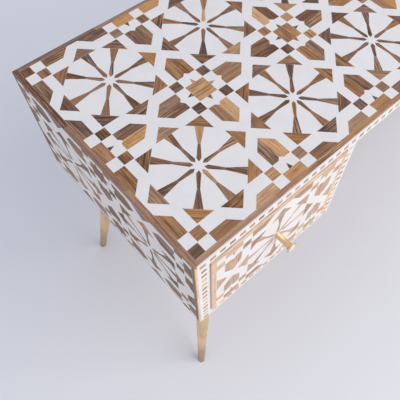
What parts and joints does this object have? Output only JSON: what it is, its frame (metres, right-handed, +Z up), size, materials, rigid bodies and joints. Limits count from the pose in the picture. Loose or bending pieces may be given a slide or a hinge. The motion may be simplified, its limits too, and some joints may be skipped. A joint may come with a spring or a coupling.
{
  "type": "writing desk",
  "caption": "Writing desk with geometric wood and white resin inlay on top, ends and drawer fronts, a drawer case under each end, and slender splayed brass legs.",
  "frame": {"origin": "on the floor, under the middle of the desk's outline with its knobs", "axes": "+X along the desk to the right of the person who sits at it, +Y from front to back, +Z up"},
  "size_m": [1.3762, 0.558, 0.75],
  "materials": {
    "inlay_wood": "satin",
    "white_resin": "satin",
    "border_wood": "satin",
    "case_wood": "satin",
    "drawer_wood": "satin",
    "satin_brass": "satin",
    "zinc_steel": "satin"
  },
  "bodies": {
    "desk": {"drawer_kickers": "drawer_wood", "drawer_runners": "drawer_wood", "drawer_stops": "drawer_wood", "left_back_leg": "satin_brass", "left_case_back": "case_wood", "left_case_band_dashes": "inlay_wood", "left_case_band_resin": "white_resin", "left_case_bottom": "case_wood", "left_end_border": "border_wood", "left_end_resin": "white_resin", "left_end_tiles": "inlay_wood", "left_front_leg": "satin_brass", "left_inner_side": "case_wood", "left_outer_side": "case_wood", "leg_plate_screws": "zinc_steel", "leg_plates": "zinc_steel", "right_back_leg": "satin_brass", "right_case_back": "case_wood", "right_case_band_dashes": "inlay_wood", "right_case_band_resin": "white_resin", "right_case_bottom": "case_wood", "right_end_border": "border_wood", "right_end_resin": "white_resin", "right_end_tiles": "inlay_wood", "right_front_leg": "satin_brass", "right_inner_side": "case_wood", "right_outer_side": "case_wood", "top_arrow_heads": "inlay_wood", "top_arrow_stems": "inlay_wood", "top_band_dashes": "inlay_wood", "top_band_resin": "white_resin", "top_border_back": "border_wood", "top_border_front": "border_wood", "top_border_left": "border_wood", "top_border_right": "border_wood", "top_core": "case_wood", "top_hexagons": "inlay_wood", "top_resin": "white_resin", "top_squares": "inlay_wood"},
    "left_drawer": {"left_drawer_back": "drawer_wood", "left_drawer_bottom": "drawer_wood", "left_drawer_front_core": "drawer_wood", "left_drawer_left_side": "drawer_wood", "left_drawer_lipping": "border_wood", "left_drawer_resin": "white_resin", "left_drawer_right_side": "drawer_wood", "left_drawer_tiles": "inlay_wood", "left_knob": "satin_brass", "left_knob_disc": "white_resin", "left_knob_screw": "zinc_steel"},
    "right_drawer": {"right_drawer_back": "drawer_wood", "right_drawer_bottom": "drawer_wood", "right_drawer_front_core": "drawer_wood", "right_drawer_left_side": "drawer_wood", "right_drawer_lipping": "border_wood", "right_drawer_resin": "white_resin", "right_drawer_right_side": "drawer_wood", "right_drawer_tiles": "inlay_wood", "right_knob": "satin_brass", "right_knob_disc": "white_resin", "right_knob_screw": "zinc_steel"}
  },
  "joints": [
    {"name": "left_drawer_slide", "type": "slide", "parent": "desk", "child": "left_drawer", "axis": [0, -1, 0], "range_m": [0, 0.32]},
    {"name": "right_drawer_slide", "type": "slide", "parent": "desk", "child": "right_drawer", "axis": [0, -1, 0], "range_m": [0, 0.32]}
  ]
}
